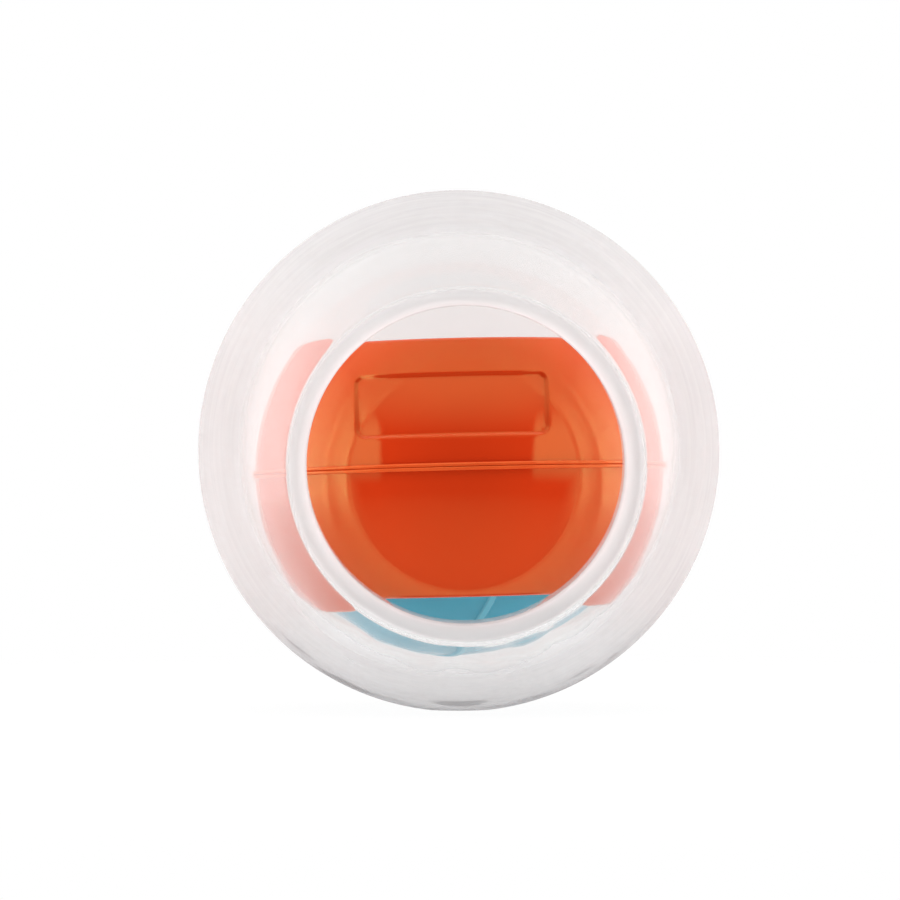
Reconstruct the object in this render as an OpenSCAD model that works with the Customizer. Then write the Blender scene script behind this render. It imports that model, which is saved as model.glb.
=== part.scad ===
// Treat dispensing ball: a thick soft clear ball with one round mouth, and loose inside it a
// capsule made of a two-piece belt that holds a bowl-like treat ball, free to turn.
// Millimetres, +Z up. The origin is the middle of the small flat on which the ball stands,
// and the mouth looks along -Y.

/* [Belt] */
// Radius of the belt's round outer wall
belt_r = 49.7; // [44:0.1:56]
// Height of the belt between its flat ends
belt_h = 60.6; // [50:0.1:70]
// Thickness of the belt's wall
belt_wall = 3.2; // [2.4:0.1:5]
// Rounding of the outer edge at each end
belt_edge_r = 2.2; // [0.5:0.1:4]
// Rounding of the inner edge at each end
belt_hole_edge_r = 0.6; // [0.2:0.1:1]
// Sideways lean of the loose capsule at rest, in degrees
capsule_roll = 1.4; // [0:0.1:5]

/* [Belt seam] */
// How far the rim bead of each half stands out of the wall
bead_proud = 0.9; // [0.3:0.1:2]
// Width of one half's bead along the axis
bead_w = 0.9; // [0.4:0.05:1.5]
// Thickness of the tongue that keys the halves together
tongue_w = 1; // [0.6:0.1:1.4]
// Height of the tongue
tongue_h = 1.6; // [0.8:0.1:4]
// Clearance all round the tongue
tongue_gap = 0.1; // [0.05:0.01:0.3]

/* [Bare front panel] */
// Width of the recessed panel
panel_w = 45.5; // [20:0.1:55]
// Height of the panel
panel_h = 15.2; // [6:0.1:18]
// Height of the panel's middle above the seam
panel_rise = 14.5; // [12:0.1:16]
// Sideways shift of the panel's middle
panel_shift = -2.9; // [-6:0.1:6]
// Depth of the panel's floor below the wall
panel_depth = 0.6; // [0.2:0.1:1.2]
// Rounding of the panel's corners
panel_corner_r = 2.4; // [1:0.1:2.8]

/* [Treat ball] */
// Running gap between the treat ball and the belt
turn_gap = 0.9; // [0.8:0.1:2]
// Thickness of the treat ball's wall
treat_wall = 2; // [1.4:0.1:4]
// Height of the treat ball's rim above its middle
treat_rim = 22; // [10:0.5:26]
// How far the mould ridge stands out of the treat ball
ridge_proud = 0.5; // [0.2:0.05:0.5]
// Width of the mould ridge
ridge_w = 2.2; // [1:0.1:4]
// Lean of the treat ball's axis from the belt's, in degrees
treat_lean = 11; // [0:0.5:15]
// Heading of that lean, in degrees from +X
treat_heading = 20; // [0:1:90]

/* [Soft outer ball] */
// Play between the cavity and the belt's bead
cavity_play = 2.4; // [1:0.1:6]
// Thickness of the ball's wall
ball_wall = 10.5; // [9:0.1:14]
// Radius of the mouth
mouth_r = 36.8; // [30:0.1:40]
// Rounding of the mouth's outer edge
lip_r = 3.2; // [1:0.1:4]
// Rounding of the mouth's inner edge
lip_back_r = 3; // [1:0.1:4]
// How far the mouth looks down, in degrees
mouth_dip = 5.7; // [0:0.1:12]
// Gap left where the capsule sits in the cavity
seat_gap = 0.3; // [0.2:0.05:0.6]
// How much the soft ball flattens where it stands
foot_sink = 0.5; // [0.3:0.1:1.5]

/* [Hidden] */
$fn = 128;

belt_half = belt_h / 2;
belt_in_r = belt_r - belt_wall;
tongue_mid_r = belt_r - belt_wall / 2;
treat_r = belt_in_r - turn_gap;
cavity_r = belt_r + bead_proud + cavity_play;
ball_r = cavity_r + ball_wall;
ball_z = ball_r - foot_sink;

// Middle of the rounding at the belt's outer end edge, as radius and height
belt_edge_mid = [sqrt(pow(belt_r - belt_edge_r, 2) - pow(belt_half - belt_edge_r, 2)),
                 belt_half - belt_edge_r];
// The capsule hangs this far below the ball's middle when its lower edge sits in the cavity
seat_reach = cavity_r - seat_gap - belt_edge_r;
capsule_drop = sqrt(pow(seat_reach, 2) - pow(belt_edge_mid[0], 2)) - belt_edge_mid[1];

function unit(v) = v / norm(v);

// Piece to take off a flat outline to round a corner: mid and r give the rounding's circle,
// and to_a and to_b point from its middle square to the two edges that meet there.
module corner_waste(mid, r, to_a, to_b) {
    reach = 4 * r;
    difference() {
        polygon([mid, mid + reach * to_a, mid + reach * (to_a + to_b), mid + reach * to_b]);
        translate(mid) circle(r);
    }
}

// Ring of rectangular section about Z
module ring(r_in, r_out, low, high) {
    rotate_extrude() translate([r_in, low]) square([r_out - r_in, high - low]);
}

// Places what is drawn about the belt's middle where the capsule sits in the ball
module in_capsule() {
    translate([0, 0, ball_z]) rotate([0, -capsule_roll, 0]) translate([0, 0, -capsule_drop]) children();
}

// Section of one half of the belt, from the seam up, with its rim bead
module belt_half_outline() {
    hole_mid_y = belt_half - belt_hole_edge_r;
    hole_mid = [sqrt(pow(belt_in_r + belt_hole_edge_r, 2) - pow(hole_mid_y, 2)), hole_mid_y];
    difference() {
        intersection() {
            circle(belt_r);
            square([belt_r, belt_half]);
        }
        circle(belt_in_r);
        corner_waste(belt_edge_mid, belt_edge_r, [0, 1], unit(belt_edge_mid));
        corner_waste(hole_mid, belt_hole_edge_r, [0, 1], -unit(hole_mid));
    }
    bead_mid_r = belt_r + bead_proud - bead_w / 2;
    translate([tongue_mid_r + tongue_w, 0]) square([bead_mid_r - tongue_mid_r - tongue_w, bead_w]);
    translate([bead_mid_r, bead_w / 2]) circle(bead_w / 2);
}

// Plain panel outline with round corners, about its middle
module panel_outline() {
    square([panel_w, panel_h - 2 * panel_corner_r], center = true);
    square([panel_w - 2 * panel_corner_r, panel_h], center = true);
    for (side = [-1, 1], level = [-1, 1])
        translate([side * (panel_w / 2 - panel_corner_r), level * (panel_h / 2 - panel_corner_r)])
            circle(panel_corner_r);
}

// What the front panel takes out of the belt: its floor follows the wall
module panel_waste() {
    difference() {
        translate([panel_shift, 0, panel_rise]) rotate([90, 0, 0]) linear_extrude(belt_r) panel_outline();
        sphere(belt_r - panel_depth);
    }
}

module belt_upper() color([0.9, 0.36, 0.12]) in_capsule() difference() {
    rotate_extrude() belt_half_outline();
    ring(tongue_mid_r - tongue_w / 2 - tongue_gap, tongue_mid_r + tongue_w / 2 + tongue_gap,
         -tongue_gap, tongue_h + tongue_gap);
    panel_waste();
}

module belt_lower() color([0.9, 0.36, 0.12]) in_capsule() {
    mirror([0, 0, 1]) rotate_extrude() belt_half_outline();
    ring(tongue_mid_r - tongue_w / 2, tongue_mid_r + tongue_w / 2, -tongue_h, tongue_h);
}

// Section of the treat ball, a bowl with a round rim
module treat_outline() {
    mid_r = treat_r - treat_wall / 2;
    rim_dir = [sqrt(pow(mid_r, 2) - pow(treat_rim, 2)), treat_rim] / mid_r;
    far = 2 * treat_r;
    difference() {
        circle(treat_r);
        circle(treat_r - treat_wall);
        polygon([[0, 0], far * rim_dir, [0, far]]);
        translate([-far, -far]) square([far, 2 * far]);
    }
    translate(mid_r * rim_dir) circle(treat_wall / 2);
}

// Section of the mould ridge: a low band with sloped flanks, rooted in the wall
module ridge_outline() {
    root = treat_wall / 2;
    slope = 0.5;
    top = ridge_w / 2 - slope * ridge_proud;
    foot = ridge_w / 2 + slope * root;
    polygon([[treat_r - root, -foot], [treat_r + ridge_proud, -top],
             [treat_r + ridge_proud, top], [treat_r - root, foot]]);
}

module treat_ball() color([0.33, 0.62, 0.68]) in_capsule() rotate([0, treat_lean, treat_heading]) {
    rotate_extrude() treat_outline();
    difference() {
        rotate([0, 90, 0]) rotate_extrude() ridge_outline();
        translate([0, 0, treat_rim - treat_wall]) cylinder(h = 2 * treat_r, r = 2 * treat_r);
    }
}

// Section of the outer ball about the mouth's axis, which points up here
module ball_outline() {
    lip_mid_r = mouth_r + lip_r;
    lip_mid = [lip_mid_r, sqrt(pow(ball_r - lip_r, 2) - pow(lip_mid_r, 2))];
    back_mid_r = mouth_r + lip_back_r;
    back_mid = [back_mid_r, sqrt(pow(cavity_r + lip_back_r, 2) - pow(back_mid_r, 2))];
    difference() {
        circle(ball_r);
        circle(cavity_r);
        square([mouth_r, 2 * ball_r]);
        corner_waste(lip_mid, lip_r, [-1, 0], unit(lip_mid));
        corner_waste(back_mid, lip_back_r, [-1, 0], -unit(back_mid));
        translate([-2 * ball_r, -2 * ball_r]) square([2 * ball_r, 4 * ball_r]);
    }
}

module outer_ball() color([0.93, 0.94, 0.95, 0.4]) difference() {
    translate([0, 0, ball_z]) rotate([90 + mouth_dip, 0, 0]) rotate_extrude() ball_outline();
    translate([0, 0, -ball_r]) cylinder(h = ball_r, r = ball_r);
}

outer_ball();
belt_upper();
belt_lower();
treat_ball();
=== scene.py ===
"""Looks for a treat dispensing ball: a thick soft clear ball with one round mouth and, loose in
it, a capsule made of a two-piece belt round a bowl-like treat ball. Lengths are metres in the
CAD's frame: +Z up, the mouth looks along -Y, the origin is the middle of the standing flat."""

from math import asin, atan2, cos, degrees, hypot, radians, sin, sqrt, tau

import bmesh
import bpy
from mathutils import Matrix, Vector, noise


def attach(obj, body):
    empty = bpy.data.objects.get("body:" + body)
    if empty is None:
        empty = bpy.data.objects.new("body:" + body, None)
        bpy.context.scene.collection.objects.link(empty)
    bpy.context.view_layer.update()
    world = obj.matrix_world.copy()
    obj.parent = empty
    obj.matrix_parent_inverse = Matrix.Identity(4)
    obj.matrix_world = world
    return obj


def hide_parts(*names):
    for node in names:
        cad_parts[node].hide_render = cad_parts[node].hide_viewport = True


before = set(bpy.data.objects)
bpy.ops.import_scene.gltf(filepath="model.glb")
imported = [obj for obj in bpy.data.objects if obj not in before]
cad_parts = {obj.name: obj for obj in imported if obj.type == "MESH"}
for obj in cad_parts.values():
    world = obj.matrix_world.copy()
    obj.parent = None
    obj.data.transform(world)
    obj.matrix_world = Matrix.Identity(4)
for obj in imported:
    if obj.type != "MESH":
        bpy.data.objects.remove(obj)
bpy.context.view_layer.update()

MM = 0.001
MERGE = 0.001 * MM
SHARP_ANGLE = 40

# Belt
BELT_R = 49.7 * MM
BELT_HALF = 60.6 * MM / 2
BELT_WALL = 3.2 * MM
BELT_IN_R = BELT_R - BELT_WALL
BELT_EDGE_R = 2.2 * MM
BELT_HOLE_EDGE_R = 0.6 * MM
BELT_STEPS = 288
CAPSULE_ROLL = 1.4

# Belt seam
BEAD_PROUD = 0.9 * MM
BEAD_W = 0.9 * MM
BEAD_RIPPLE = 0.12 * MM
BEAD_RIPPLE_SIZE = 9 * MM
TONGUE_MID_R = BELT_R - BELT_WALL / 2
TONGUE_W = 1 * MM
TONGUE_H = 1.6 * MM
TONGUE_GAP = 0.1 * MM

# Bare front panel
PANEL_W = 45.5 * MM
PANEL_H = 15.2 * MM
PANEL_RISE = 14.5 * MM
PANEL_SHIFT = -2.9 * MM
PANEL_DEPTH = 0.6 * MM
PANEL_CORNER_R = 2.4 * MM
PANEL_CORNER_STEP = 15
PANEL_SLOPE = 0.9 * MM

# Treat ball
TURN_GAP = 0.9 * MM
TREAT_R = BELT_IN_R - TURN_GAP
TREAT_WALL = 2 * MM
TREAT_RIM = 22 * MM
RIDGE_PROUD = 0.5 * MM
RIDGE_W = 2.2 * MM
RIDGE_FADE = 2 * MM
TREAT_LEAN = 11
TREAT_HEADING = 20

# Soft outer ball
CAVITY_PLAY = 2.4 * MM
CAVITY_R = BELT_R + BEAD_PROUD + CAVITY_PLAY
BALL_WALL = 10.5 * MM
BALL_R = CAVITY_R + BALL_WALL
FOOT_SINK = 0.5 * MM
BALL_Z = BALL_R - FOOT_SINK
BALL_STEPS = 192
MOUTH_R = 36.8 * MM
LIP_R = 3.2 * MM
LIP_BACK_R = 3 * MM
MOUTH_DIP = 5.7
SEAT_GAP = 0.3 * MM

# Floor and camera
FLOOR_GAP = 0.3 * MM
CAMERA_AZIMUTH = -2.06
CAMERA_ELEVATION = -1.5
CAMERA_DISTANCE = 854.7 * MM
PICTURE_PX = 900
PICTURE_SHIFT_PX = -8.8, 0.8

# The capsule hangs this far below the ball's middle when its lower edge sits in the cavity
BELT_EDGE_MID = (sqrt((BELT_R - BELT_EDGE_R) ** 2 - (BELT_HALF - BELT_EDGE_R) ** 2),
                 BELT_HALF - BELT_EDGE_R)
SEAT_REACH = CAVITY_R - SEAT_GAP - BELT_EDGE_R
CAPSULE_DROP = sqrt(SEAT_REACH ** 2 - BELT_EDGE_MID[0] ** 2) - BELT_EDGE_MID[1]

IN_CAPSULE = (Matrix.Translation((0, 0, BALL_Z)) @ Matrix.Rotation(radians(-CAPSULE_ROLL), 4, "Y")
              @ Matrix.Translation((0, 0, -CAPSULE_DROP)))
IN_BELT = (IN_CAPSULE @ Matrix.Rotation(radians(TREAT_HEADING), 4, "Z")
           @ Matrix.Rotation(radians(TREAT_LEAN), 4, "Y"))
IN_BALL = Matrix.Translation((0, 0, BALL_Z)) @ Matrix.Rotation(radians(90 + MOUTH_DIP), 4, "X")


class Section:
    """Half section drawn in the XZ plane, X the radius and Z the height, to be spun about Z."""

    def __init__(self, radius, height):
        self.bm = bmesh.new()
        self.tip = self.bm.verts.new((radius, 0, height))

    def line(self, radius, height):
        """Straight edge from the tip to a point."""
        self.tip = bmesh.ops.extrude_vert_indiv(self.bm, verts=[self.tip])["verts"][0]
        self.tip.co = radius, 0, height

    def arc(self, middle, angle, steps):
        """Round edge from the tip about a middle, anticlockwise for a positive angle in degrees."""
        swept = bmesh.ops.spin(self.bm, geom=[self.tip], cent=(middle[0], 0, middle[1]),
                               axis=(0, -1, 0), angle=radians(angle), steps=steps)
        self.tip = next(g for g in swept["geom_last"] if isinstance(g, bmesh.types.BMVert))

    def turned(self, steps):
        """The closed mesh that the section sweeps in a full turn."""
        bm = self.bm
        bmesh.ops.spin(bm, geom=bm.verts[:] + bm.edges[:], cent=(0, 0, 0), axis=(0, 0, 1),
                       angle=tau, steps=steps, use_merge=True)
        bmesh.ops.remove_doubles(bm, verts=bm.verts[:], dist=MERGE)
        bmesh.ops.recalc_face_normals(bm, faces=bm.faces[:])
        return bm


def cut(bm, faces, point, normal):
    """Cuts faces with a plane and gives back those behind it, on the side its normal leaves."""
    near = {v for f in faces for v in f.verts} | {e for f in faces for e in f.edges}
    made = bmesh.ops.bisect_plane(bm, geom=list(faces) + list(near), dist=MERGE,
                                  plane_co=point, plane_no=normal)
    pieces = [g for g in made["geom"] if isinstance(g, bmesh.types.BMFace)]
    return [f for f in pieces if (f.calc_center_median() - point).dot(normal) < 0]


def smooth_step(share):
    """0 to 1 with soft ends, for a share that is held between them."""
    share = min(max(share, 0), 1)
    return share * share * (3 - 2 * share)


def finished(name, bm, place, material, body, node):
    """A piece from a mesh: placed in its mesh, smooth but for sharp edges, riding on its body."""
    bmesh.ops.transform(bm, matrix=place, verts=bm.verts[:])
    mesh = bpy.data.meshes.new(name)
    bm.to_mesh(mesh)
    bm.free()
    mesh.shade_smooth()
    mesh.set_sharp_from_angle(angle=radians(SHARP_ANGLE))
    mesh.materials.append(material)
    piece = bpy.data.objects.new(name, mesh)
    bpy.context.scene.collection.objects.link(piece)
    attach(piece, body)
    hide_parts(node)


class Wire:
    """A shader socket that takes part in Python sums, each of which adds a Math node."""

    def __init__(self, finish, socket):
        self.finish = finish
        self.socket = socket

    def math(self, operation, *values):
        """Result of a Math node, or of a Vector Math node where a plain vector takes part."""
        has_vector = any(isinstance(value, tuple) for value in values)
        kind = "ShaderNodeVectorMath" if has_vector else "ShaderNodeMath"
        return self.finish.node(kind, {"operation": operation}, dict(enumerate(values)))

    def __add__(self, other):
        return self.math("ADD", self, other)

    def __sub__(self, other):
        return self.math("SUBTRACT", self, other)

    def __rsub__(self, other):
        return self.math("SUBTRACT", other, self)

    def __mul__(self, other):
        return self.math("MULTIPLY", self, other)

    __radd__ = __add__
    __rmul__ = __mul__

    def __abs__(self):
        return self.math("ABSOLUTE", self)

    def at_least(self, other):
        """The value, or another where that is greater."""
        return self.math("MAXIMUM", self, other)

    def held(self):
        """The value kept between 0 and 1."""
        return self.math("MINIMUM", self.at_least(0), 1)

    def rise(self, start, end):
        """How far the value has gone from a start, 0, to an end, 1, which may be the lower one."""
        return ((self - start) * (1 / (end - start))).held()


class Finish:
    """A node tree, of a material or of the world."""

    def __init__(self, owner):
        owner.use_nodes = True
        self.owner = owner
        self.tree = owner.node_tree
        self.tree.nodes.clear()

    def node(self, kind, settings=None, sockets=None, out=0):
        """Adds a node, sets it, fills or links its sockets and gives back one of its outputs."""
        made = self.tree.nodes.new(kind)
        for key, value in (settings or {}).items():
            setattr(made, key, value)
        for key, value in (sockets or {}).items():
            if isinstance(value, Wire):
                self.tree.links.new(value.socket, made.inputs[key])
            else:
                made.inputs[key].default_value = value
        return Wire(self, made.outputs[out]) if len(made.outputs) else None

    def place(self):
        """Where a point of the piece lies."""
        return self.node("ShaderNodeTexCoord", out="Object")

    def parts(self, vector):
        """The three numbers of a vector."""
        return [self.node("ShaderNodeSeparateXYZ", None, {0: vector}, out=axis) for axis in "XYZ"]

    def joined(self, *numbers):
        """A vector of three numbers."""
        return self.node("ShaderNodeCombineXYZ", None, dict(enumerate(numbers)))

    def length(self, vector):
        return self.node("ShaderNodeVectorMath", {"operation": "LENGTH"}, {0: vector}, out="Value")

    def ray(self, kind):
        """1 for light paths of a kind, else 0."""
        return self.node("ShaderNodeLightPath", out=kind)

    def grain(self, size, detail=3, at=None):
        """Cloudy value from 0 to 1 with lumps of a size in metres."""
        sockets = {"Vector": at or self.place(), "Scale": 1 / size, "Detail": detail}
        return self.node("ShaderNodeTexNoise", None, sockets)

    def blend(self, share, first, second):
        """Mix of two colours."""
        return self.node("ShaderNodeMix", {"data_type": "RGBA"}, {0: share, 6: first, 7: second},
                         out=2)

    def bump(self, height, depth, under=None):
        """A normal that shows a height from 0 to 1 as relief of a depth in metres."""
        sockets = {"Height": height, "Distance": depth}
        if under:
            sockets["Normal"] = under
        return self.node("ShaderNodeBump", None, sockets)

    def mixed(self, share, first, second):
        """Mix of two shaders."""
        return self.node("ShaderNodeMixShader", None, {0: share, 1: first, 2: second})

    def surface(self, shader):
        """Ends the tree with a shader and gives back its material or world."""
        is_world = isinstance(self.owner, bpy.types.World)
        kind = "ShaderNodeOutputWorld" if is_world else "ShaderNodeOutputMaterial"
        self.node(kind, None, {"Surface": shader})
        return self.owner


def linear(red, green, blue):
    """A colour of a picture, 0 to 255, as light."""
    def light(value):
        value /= 255
        return value / 12.92 if value <= 0.04045 else ((value + 0.055) / 1.055) ** 2.4
    return light(red), light(green), light(blue), 1


def moulded_plastic(name, colour, deep_colour, highlight_colour, wall_r, sheen, ior, roughness):
    """Glossy moulded plastic: slow flow clouds in the colour, faint sink waves and fine scuffs.
    What stands out of the piece's round wall, about the capsule's middle, is painted paler in
    uneven patches, a painted highlight where the raised bead and ridge catch the light."""
    finish = Finish(bpy.data.materials.new(name))
    from_middle = finish.length(finish.place() - tuple(IN_CAPSULE.translation))
    proud = from_middle.rise(wall_r + 0.1 * MM, wall_r + 0.3 * MM)
    # painted highlight: the raised bead and ridge are painted paler, in uneven patches, as if they
    # caught the light
    painted_highlight = proud * (0.4 + 0.8 * finish.grain(14 * MM))
    clouds = finish.grain(26 * MM)
    scuffs = finish.grain(1.6 * MM, detail=6)
    waves = finish.grain(17 * MM, detail=1)
    fine = finish.grain(0.5 * MM, detail=2)
    relief = finish.bump(fine, 0.004 * MM, finish.bump(waves, 0.12 * MM))
    shader = finish.node("ShaderNodeBsdfPrincipled", None, {
        "Base Color": finish.blend(painted_highlight, finish.blend(clouds, deep_colour, colour), highlight_colour),
        "Roughness": roughness + 0.08 * (scuffs - 0.5),
        "IOR": ior,
        "Specular Tint": sheen,
        "Normal": relief,
    })
    return finish.surface(shader)


def soft_clear():
    """Clear soft rubber with a thin milky haze, which lies in flow rings round the mouth and lets
    most of the lamps' light through. The haze is denser in the lip and where the outside turns
    away, where light runs a long way in the rubber. Its milk is painted there: darker where the
    outside turns away, a painted shade streaked along the flow lines, and whiter in the lip, a
    painted glow of light carried through the rubber. Below the mouth the haze is thinner and the
    rubber slightly uneven."""
    finish = Finish(bpy.data.materials.new("soft_clear"))
    from_mouth = finish.node("ShaderNodeMapping", {"vector_type": "TEXTURE"}, {
        "Vector": finish.place(),
        "Location": (0, 0, BALL_Z),
        "Rotation": (radians(90 + MOUTH_DIP), 0, 0),
    })
    right, up, ahead = finish.parts(from_mouth)
    from_axis = finish.length(from_mouth * (1, 1, 0))
    flow = finish.joined(from_axis + 0.12 * right, ahead + 0.12 * up, 0)
    rings = finish.grain(7 * MM, at=flow)
    lines = finish.grain(2.4 * MM, at=flow)

    height = finish.parts(finish.place())[2]
    below = (height.rise(BALL_Z, BALL_Z - 60 * MM) * height.rise(3 * MM, 13 * MM)
             * abs(right).rise(48 * MM, 28 * MM))
    outside = finish.length(from_mouth).rise(CAVITY_R + 5 * MM, CAVITY_R + 7 * MM)
    facing = finish.node("ShaderNodeLayerWeight", None, {"Blend": 0.5}, out="Facing")
    limb = facing.rise(0.42, 0.52) * outside
    lip_edge = MOUTH_R + 1.45 * LIP_R
    lip = from_axis.rise(lip_edge, lip_edge - 0.9 * MM) * outside * ahead.rise(0, 1 * MM)

    waves = finish.grain(45 * MM, detail=0)
    lumps = finish.grain(15 * MM, detail=1) * below
    uneven = finish.bump(lumps, 0.4 * MM, finish.bump(waves, 0.12 * MM))
    glass = finish.node("ShaderNodeBsdfPrincipled", None, {
        "Base Color": (0.985, 0.98, 0.98, 1),
        "Roughness": 0.004 + 0.012 * rings,
        "IOR": 1.49,
        "Transmission Weight": 1,
        "Normal": finish.bump(rings, 0.02 * MM, uneven),
    })

    def haze(*milk):
        """Milk of a colour, which throws most of its light back and lets the rest through."""
        sockets = {"Color": (*milk, 1)}
        return finish.mixed(0.35, finish.node("ShaderNodeBsdfDiffuse", None, sockets),
                            finish.node("ShaderNodeBsdfTranslucent", None, sockets))

    body = finish.mixed(0.19 + 0.08 * rings - 0.26 * below, glass, haze(0.65, 0.63, 0.62))
    # painted shade: where the outside turns away the haze is a darker milk, streaked along the flow
    # lines
    edge_shaded = finish.mixed(limb * (0.26 + 0.34 * lines), body, haze(0.52, 0.485, 0.49))
    # painted glow: the lip is a whiter milk, standing in for light carried through the rubber to it
    lip_lit = finish.mixed(0.75 * lip, edge_shaded, haze(0.83, 0.81, 0.81))
    clear = finish.node("ShaderNodeBsdfTransparent", None, {"Color": (1, 1, 1, 1)})
    return finish.surface(finish.mixed(0.9 * finish.ray("Is Shadow Ray"), lip_lit, clear))


def belt_half_section(groove):
    """Section of a belt half from its seam up: groove cuts a slot in the seam face, else a tongue
    stands on it."""
    side = TONGUE_W / 2 + (TONGUE_GAP if groove else 0)
    depth = TONGUE_H + TONGUE_GAP if groove else -TONGUE_H
    edge_angle = degrees(atan2(BELT_EDGE_MID[1], BELT_EDGE_MID[0]))
    hole_mid_h = BELT_HALF - BELT_HOLE_EDGE_R
    hole_mid = sqrt((BELT_IN_R + BELT_HOLE_EDGE_R) ** 2 - hole_mid_h ** 2), hole_mid_h
    hole_angle = degrees(atan2(hole_mid[1], hole_mid[0]))
    bead_mid = BELT_R + BEAD_PROUD - BEAD_W / 2, BEAD_W / 2
    wall_start = degrees(asin(BEAD_W / BELT_R))
    section = Section(BELT_IN_R, 0)
    section.line(TONGUE_MID_R - side, 0)
    section.line(TONGUE_MID_R - side, depth)
    section.line(TONGUE_MID_R + side, depth)
    section.line(TONGUE_MID_R + side, 0)
    section.line(bead_mid[0], 0)
    section.arc(bead_mid, 180, steps=8)
    section.line(BELT_R * cos(radians(wall_start)), BEAD_W)
    section.arc((0, 0), edge_angle - wall_start, steps=30)
    section.arc(BELT_EDGE_MID, 90 - edge_angle, steps=8)
    section.line(hole_mid[0], BELT_HALF)
    section.arc(hole_mid, 90 + hole_angle, steps=6)
    section.arc((0, 0), -hole_angle, steps=24)
    return section


def ripple_bead(bm):
    """Makes the moulded rim bead slightly uneven round the belt."""
    for vert in bm.verts:
        reach = hypot(vert.co.x, vert.co.y)
        if reach > BELT_R and abs(vert.co.z) <= BEAD_W + MERGE:
            push = 1 + BEAD_RIPPLE * noise.noise(vert.co / BEAD_RIPPLE_SIZE) / reach
            vert.co.x *= push
            vert.co.y *= push


def panel_planes(inset):
    """Planes round the panel's outline, taken in by an inset: each a point and its outer normal."""
    for angle in range(0, 360, PANEL_CORNER_STEP):
        normal = Vector((cos(radians(angle)), 0, sin(radians(angle))))
        side = 1 if normal.x >= 0 else -1
        level = 1 if normal.z >= 0 else -1
        corner_mid = Vector((PANEL_SHIFT + side * (PANEL_W / 2 - PANEL_CORNER_R), 0,
                             PANEL_RISE + level * (PANEL_H / 2 - PANEL_CORNER_R)))
        yield corner_mid + normal * (PANEL_CORNER_R - inset), normal


def panel_inset(point):
    """How far a point lies inside the panel's outline, negative outside."""
    over = (abs(point.x - PANEL_SHIFT) - PANEL_W / 2 + PANEL_CORNER_R,
            abs(point.z - PANEL_RISE) - PANEL_H / 2 + PANEL_CORNER_R)
    outside = hypot(max(over[0], 0), max(over[1], 0))
    return PANEL_CORNER_R - outside - min(max(over), 0)


def press_panel(bm):
    """Presses the bare front panel into the wall, with soft edges."""
    def on_front_wall(point):
        return point.y < 0 and point.length > BELT_R - 0.1 * MM

    middles = {f: f.calc_center_median() for f in bm.faces}
    faces = [f for f, middle in middles.items() if on_front_wall(middle) and middle.z > BEAD_W]
    for share in (0, 0.15, 0.3, 0.5, 0.7, 0.85, 1):
        for point, normal in panel_planes(share * PANEL_SLOPE):
            faces = cut(bm, faces, point, normal)
    for vert in bm.verts:
        if on_front_wall(vert.co) and panel_inset(vert.co) > 0:
            sunk = PANEL_DEPTH * smooth_step(panel_inset(vert.co) / PANEL_SLOPE)
            vert.co = vert.co.normalized() * (BELT_R - sunk)


def make_belt_upper(material):
    bm = belt_half_section(groove=True).turned(BELT_STEPS)
    press_panel(bm)
    ripple_bead(bm)
    finished("belt_upper_shell", bm, IN_CAPSULE, material, "belt", "belt_upper")


def make_belt_lower(material):
    bm = belt_half_section(groove=False).turned(BELT_STEPS)
    bmesh.ops.scale(bm, vec=(1, 1, -1), verts=bm.verts[:])
    bmesh.ops.reverse_faces(bm, faces=bm.faces[:])
    ripple_bead(bm)
    finished("belt_lower_shell", bm, IN_CAPSULE, material, "belt", "belt_lower")


def raise_ridge(bm):
    """Raises the mould ridge on the bowl's outside, in the plane across its X axis."""
    outer_r = TREAT_R - 0.2 * MM
    outer = [f for f in bm.faces if f.calc_center_median().length > outer_r]
    slope = RIDGE_PROUD
    half = RIDGE_W / 2
    for reach in (half + slope * 0.2, half, half - slope * 0.5, half - slope):
        for side in (1, -1):
            outer = cut(bm, outer, Vector((side * reach, 0, 0)), Vector((side, 0, 0)))
    top = TREAT_RIM - TREAT_WALL
    for vert in bm.verts:
        if vert.co.length > outer_r and abs(vert.co.x) < half and vert.co.z < top:
            flank = smooth_step((half - abs(vert.co.x)) / slope)
            end = smooth_step((top - vert.co.z) / RIDGE_FADE)
            vert.co = vert.co.normalized() * (TREAT_R + RIDGE_PROUD * flank * end)


def make_treat_ball(material):
    mid_r = TREAT_R - TREAT_WALL / 2
    rim_angle = degrees(asin(TREAT_RIM / mid_r))
    rim_mid = mid_r * cos(radians(rim_angle)), TREAT_RIM
    section = Section(0, -TREAT_R)
    section.arc((0, 0), 90 + rim_angle, steps=72)
    section.arc(rim_mid, 180, steps=12)
    section.arc((0, 0), -90 - rim_angle, steps=60)
    bm = section.turned(BALL_STEPS)
    raise_ridge(bm)
    finished("treat_ball_bowl", bm, IN_BELT, material, "treat_ball", "treat_ball")


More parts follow.
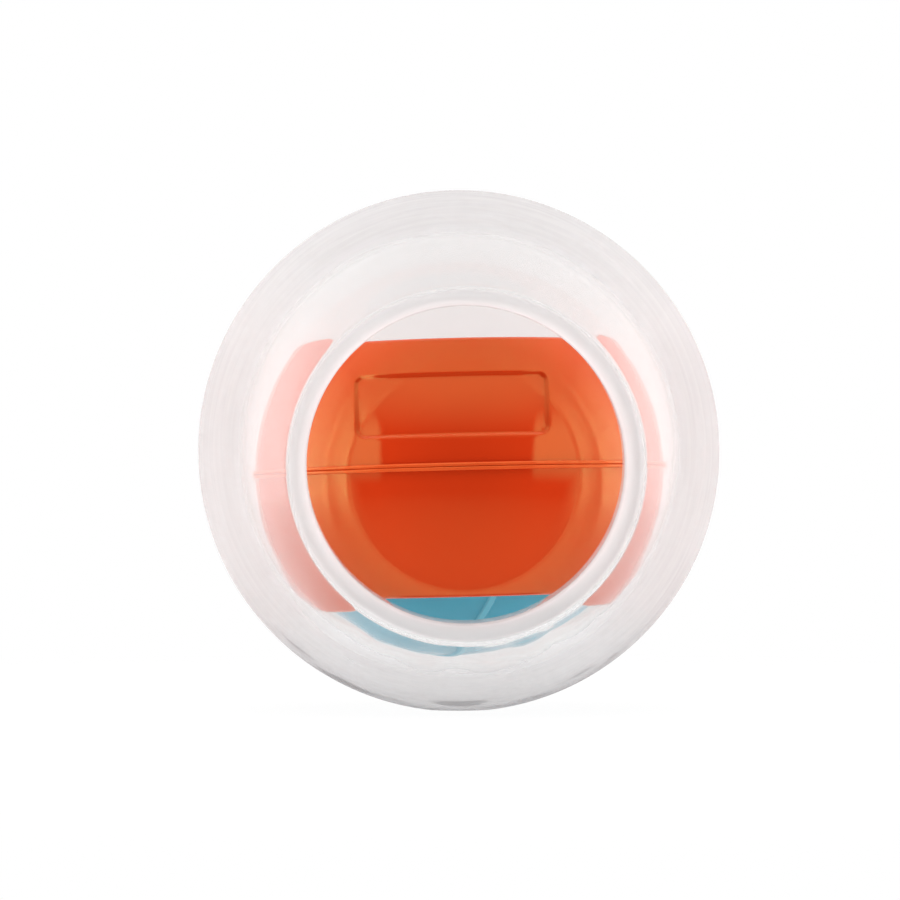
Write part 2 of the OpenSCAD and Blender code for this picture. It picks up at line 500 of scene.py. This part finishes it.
def make_outer_ball(material):
    lip_mid_r = MOUTH_R + LIP_R
    lip_mid = lip_mid_r, sqrt((BALL_R - LIP_R) ** 2 - lip_mid_r ** 2)
    lip_angle = degrees(atan2(lip_mid[1], lip_mid[0]))
    back_mid_r = MOUTH_R + LIP_BACK_R
    back_mid = back_mid_r, sqrt((CAVITY_R + LIP_BACK_R) ** 2 - back_mid_r ** 2)
    back_angle = degrees(atan2(back_mid[1], back_mid[0]))
    section = Section(0, -BALL_R)
    section.arc((0, 0), 90 + lip_angle, steps=110)
    section.arc(lip_mid, 180 - lip_angle, steps=14)
    section.line(MOUTH_R, back_mid[1])
    section.arc(back_mid, back_angle, steps=12)
    section.arc((0, 0), -90 - back_angle, steps=100)
    bm = section.turned(BALL_STEPS)
    bmesh.ops.transform(bm, matrix=IN_BALL, verts=bm.verts[:])
    foot = bmesh.ops.bisect_plane(bm, geom=bm.verts[:] + bm.edges[:] + bm.faces[:], dist=MERGE,
                                  plane_co=(0, 0, 0), plane_no=(0, 0, -1), clear_outer=True)
    rim = [g for g in foot["geom_cut"] if isinstance(g, bmesh.types.BMEdge)]
    bmesh.ops.contextual_create(bm, geom=rim)
    bmesh.ops.recalc_face_normals(bm, faces=bm.faces[:])
    finished("outer_ball_shell", bm, Matrix.Identity(4), material,
             "outer_ball", "outer_ball")


def make_floor():
    """Small pale floor that fades out round the ball, so that no horizon shows. The camera sees it
    almost white, with the ball's soft shadow, gloss sees it dim, and low lamps shine through it."""
    bm = bmesh.new()
    bmesh.ops.create_grid(bm, x_segments=1, y_segments=1, size=0.5)
    mesh = bpy.data.meshes.new("floor")
    bm.to_mesh(mesh)
    bm.free()
    finish = Finish(bpy.data.materials.new("floor"))
    gloss = finish.ray("Is Glossy Ray")
    seen = (finish.ray("Is Camera Ray") + finish.ray("Is Transmission Ray")).held()

    def paint(tone):
        return finish.node("ShaderNodeBsdfDiffuse", None, {"Color": (tone, tone, tone, 1)})

    painted = finish.mixed(gloss, paint(0.92), paint(0.22))
    white = finish.node("ShaderNodeEmission", None, {"Color": (1, 1, 1, 1), "Strength": 1})
    pale = finish.mixed(0.96 * seen + 0.5 * finish.ray("Is Diffuse Ray"), painted, white)
    clear = finish.node("ShaderNodeBsdfTransparent", None, {"Color": (1, 1, 1, 1)})
    faded = (finish.length(finish.place()) + 0.13 * gloss).rise(0.2, 0.4)
    lit_through = faded.at_least(0.8 * finish.ray("Is Shadow Ray"))
    mesh.materials.append(finish.surface(finish.mixed(lit_through, pale, clear)))
    finish.owner.cycles.emission_sampling = "NONE"
    floor = bpy.data.objects.new("floor", mesh)
    floor.location.z = -FLOOR_GAP
    bpy.context.scene.collection.objects.link(floor)


def softbox(name, angle, height, distance, size, power):
    """Area lamp that faces the ball's middle, at an angle in degrees to the right of the mouth."""
    lamp = bpy.data.lights.new(name, "AREA")
    lamp.shape = "RECTANGLE"
    lamp.size, lamp.size_y = size
    lamp.energy = power
    place = Vector((sin(radians(angle)) * distance, -cos(radians(angle)) * distance, height))
    holder = bpy.data.objects.new(name, lamp)
    holder.location = place
    holder.visible_camera = holder.visible_glossy = holder.visible_transmission = False
    holder.rotation_euler = (Vector((0, 0, BALL_Z)) - place).to_track_quat("-Z", "Y").to_euler()
    bpy.context.scene.collection.objects.link(holder)


def make_studio():
    """Soft fills at the sides, below and above, in a room that is white behind the ball and dim
    behind the camera. Two windows and the bright flanks of the room show in the belt's gloss."""
    for name, side in (("left", -1), ("right", 1)):
        softbox(name + "_fill", side * 84, height=0.2, distance=0.8, size=(0.6, 0.4), power=2.7)
        softbox(name + "_low_fill", side * 80, height=-0.25, distance=0.6, size=(0.5, 0.4), power=1.8)
    softbox("top_fill", 0, height=0.95, distance=0.25, size=(0.8, 0.8), power=6.8)
    world = bpy.data.worlds.new("studio")
    bpy.context.scene.world = world
    finish = Finish(world)
    across, along, up = finish.parts(finish.node("ShaderNodeTexCoord", out="Generated"))

    def glow(value, start, end, strength=1):
        """Light that grows softly as a direction's share of an axis goes from start to end."""
        return finish.node("ShaderNodeMapRange", {"interpolation_type": "SMOOTHSTEP"}, {
            "Value": value, "From Min": start, "From Max": end, "To Min": 0, "To Max": strength})

    level = glow(up, -0.17, 0.08) * (1 - glow(up, 0.3, 0.65))
    windows = glow(abs(across + 0.04), 0.65, 0.7, 1.2) * level * (1 - glow(along, -0.1, 0.2))
    sideways = across * across
    flanks = glow(along, -0.6, 0, 3.6) * (1 - glow(along, 0.1, 0.45)) * sideways * sideways
    ceiling = glow(up, 0.2, 0.8, 0.8)
    backdrop = glow(along, 0.1, 0.6)
    room = ceiling.at_least(windows).at_least(flanks).at_least(backdrop).at_least(0.08)
    seen = (finish.ray("Is Camera Ray") + finish.ray("Is Transmission Ray")).held()
    finish.surface(finish.node("ShaderNodeBackground", None, {
        "Color": (1, 1, 1, 1), "Strength": room.at_least(seen)}))


def make_camera():
    """Camera at the photograph's angle: long lens, a little to the left of and below the middle."""
    azimuth, elevation = radians(CAMERA_AZIMUTH), radians(CAMERA_ELEVATION)
    back = Vector((sin(azimuth) * cos(elevation), -cos(azimuth) * cos(elevation), sin(elevation)))
    camera = bpy.data.cameras.new("camera")
    camera.sensor_width = 36
    camera.lens = 140
    camera.shift_x, camera.shift_y = (shift / PICTURE_PX for shift in PICTURE_SHIFT_PX)
    holder = bpy.data.objects.new("camera", camera)
    holder.location = Vector((0, 0, BALL_Z)) + back * CAMERA_DISTANCE
    holder.rotation_euler = (-back).to_track_quat("-Z", "Y").to_euler()
    bpy.context.scene.collection.objects.link(holder)
    bpy.context.scene.camera = holder


make_camera()
# The paler third colour of each plastic is a painted highlight on its raised bead or ridge.
orange = moulded_plastic("orange_plastic", linear(204, 51, 14), deep_colour=linear(197, 47, 13),
                         highlight_colour=linear(220, 80, 34), wall_r=BELT_R,
                         sheen=(1, 0.92, 0.28, 1), ior=1.9, roughness=0.06)
blue = moulded_plastic("blue_plastic", linear(44, 150, 175), deep_colour=linear(40, 144, 168),
                       highlight_colour=linear(92, 174, 194), wall_r=TREAT_R,
                       sheen=(1, 1, 1, 1), ior=1.7, roughness=0.16)
make_belt_upper(orange)
make_belt_lower(orange)
make_treat_ball(blue)
make_outer_ball(soft_clear())
make_floor()
make_studio()
bpy.context.scene.view_settings.view_transform = "Standard"
